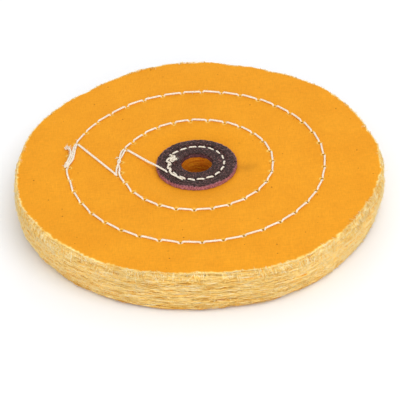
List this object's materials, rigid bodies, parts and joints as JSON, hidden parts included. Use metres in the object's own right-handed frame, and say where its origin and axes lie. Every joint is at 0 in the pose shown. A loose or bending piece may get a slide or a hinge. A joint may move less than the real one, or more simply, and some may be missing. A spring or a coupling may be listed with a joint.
{
  "type": "stitched cloth polishing wheel",
  "caption": "Stitched yellow cotton polishing wheel with leather centre washers, rings of white lockstitch, a frayed layered rim and a plain arbor bore.",
  "frame": {"origin": "on the arbor bore's axis, at the outer face of the lower leather washer, which is the wheel's lowest face as it lies flat", "axes": "+Z along the arbor bore, from the lower washer to the upper washer; +X and +Y across the wheel, with the seam's jumps and its knot on the -X side"},
  "size_m": [0.1498, 0.1498, 0.0199],
  "materials": {
    "face_cloth": "matt treated cotton, yellow-orange",
    "rim_cloth": "matt frayed cotton edges, pale yellow",
    "leather": "dark plum-brown, slightly polished, with raw pinkish cut edges",
    "cotton_thread": "matt twisted cotton thread, off-white"
  },
  "bodies": {
    "root": {"lower_leather_washer": "leather", "cloth_ply_01": "face_cloth", "cloth_ply_02": "rim_cloth", "cloth_ply_03": "rim_cloth", "cloth_ply_04": "rim_cloth", "cloth_ply_05": "rim_cloth", "cloth_ply_06": "rim_cloth", "cloth_ply_07": "rim_cloth", "cloth_ply_08": "rim_cloth", "cloth_ply_09": "rim_cloth", "cloth_ply_10": "rim_cloth", "cloth_ply_11": "rim_cloth", "cloth_ply_12": "rim_cloth", "cloth_ply_13": "rim_cloth", "cloth_ply_14": "rim_cloth", "cloth_ply_15": "rim_cloth", "cloth_ply_16": "rim_cloth", "cloth_ply_17": "rim_cloth", "cloth_ply_18": "rim_cloth", "cloth_ply_19": "rim_cloth", "cloth_ply_20": "rim_cloth", "cloth_ply_21": "rim_cloth", "cloth_ply_22": "rim_cloth", "cloth_ply_23": "rim_cloth", "cloth_ply_24": "rim_cloth", "cloth_ply_25": "rim_cloth", "cloth_ply_26": "rim_cloth", "cloth_ply_27": "rim_cloth", "cloth_ply_28": "rim_cloth", "cloth_ply_29": "rim_cloth", "cloth_ply_30": "rim_cloth", "cloth_ply_31": "rim_cloth", "cloth_ply_32": "rim_cloth", "cloth_ply_33": "rim_cloth", "cloth_ply_34": "rim_cloth", "cloth_ply_35": "rim_cloth", "cloth_ply_36": "rim_cloth", "cloth_ply_37": "rim_cloth", "cloth_ply_38": "rim_cloth", "cloth_ply_39": "rim_cloth", "cloth_ply_40": "face_cloth", "upper_leather_washer": "leather", "needle_thread": "cotton_thread", "bobbin_thread": "cotton_thread"}
  },
  "joints": []
}
